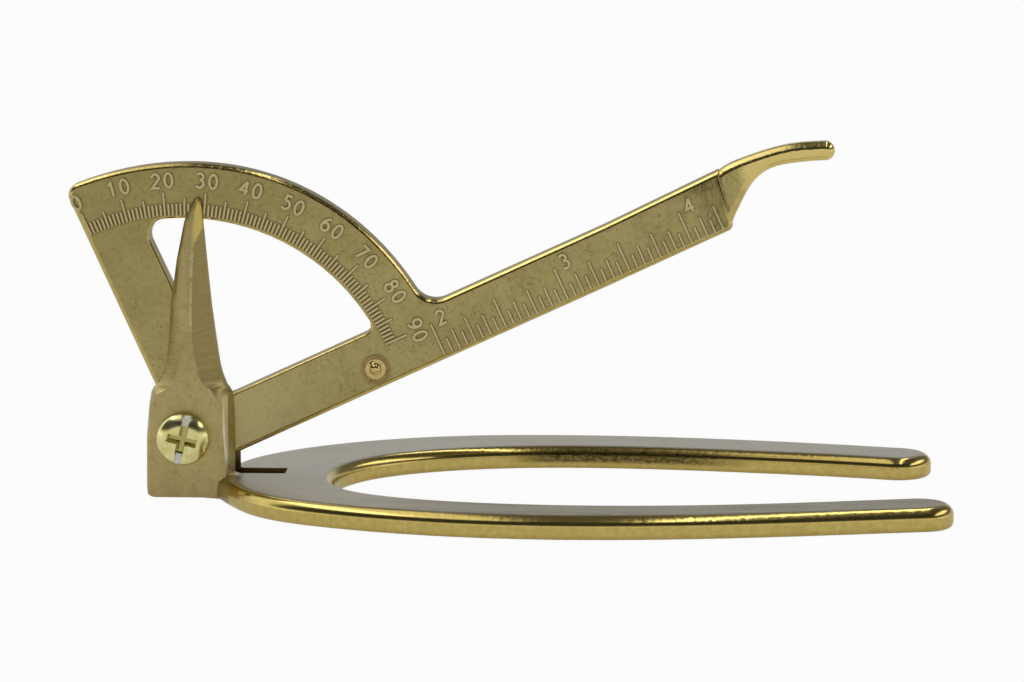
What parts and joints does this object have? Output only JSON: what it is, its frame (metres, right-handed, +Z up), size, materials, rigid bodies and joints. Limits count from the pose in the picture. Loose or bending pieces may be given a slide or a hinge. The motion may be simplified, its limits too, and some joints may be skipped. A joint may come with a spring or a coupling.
{
  "type": "hoof measure",
  "caption": "Cast brass hoof measure: a horseshoe-shaped fork with a clevis and pointer, and a hinged arm that carries a quadrant scale, a rule and a finger tail.",
  "frame": {"origin": "on the flat underside of the fork, straight below the pivot", "axes": "+Z up, away from the flat underside; +X along the fork from the pivot towards the prong tips; the marked face of the arm looks along -Y"},
  "size_m": [0.1642, 0.0824, 0.0677],
  "materials": {
    "fork_brass": "sand-cast, ground flat on the faces and polished on the edges",
    "arm_brass": "sand-cast satin with raised marks, polished on the edges",
    "pin_brass": "turned, staked into the arm",
    "plated_steel": "steel with a pale yellow zinc plating"
  },
  "bodies": {
    "fork": {"base_fork": "fork_brass", "pivot_screw": "plated_steel", "spring_washer": "plated_steel", "pivot_nut": "plated_steel"},
    "arm": {"protractor_arm": "arm_brass", "stop_pin": "pin_brass"}
  },
  "joints": [
    {"name": "arm_hinge", "type": "hinge", "parent": "fork", "child": "arm", "pos_m": [0, 0, 0.0118], "axis": [0, -1, 0], "range_deg": [-24.8, 62.4]}
  ]
}
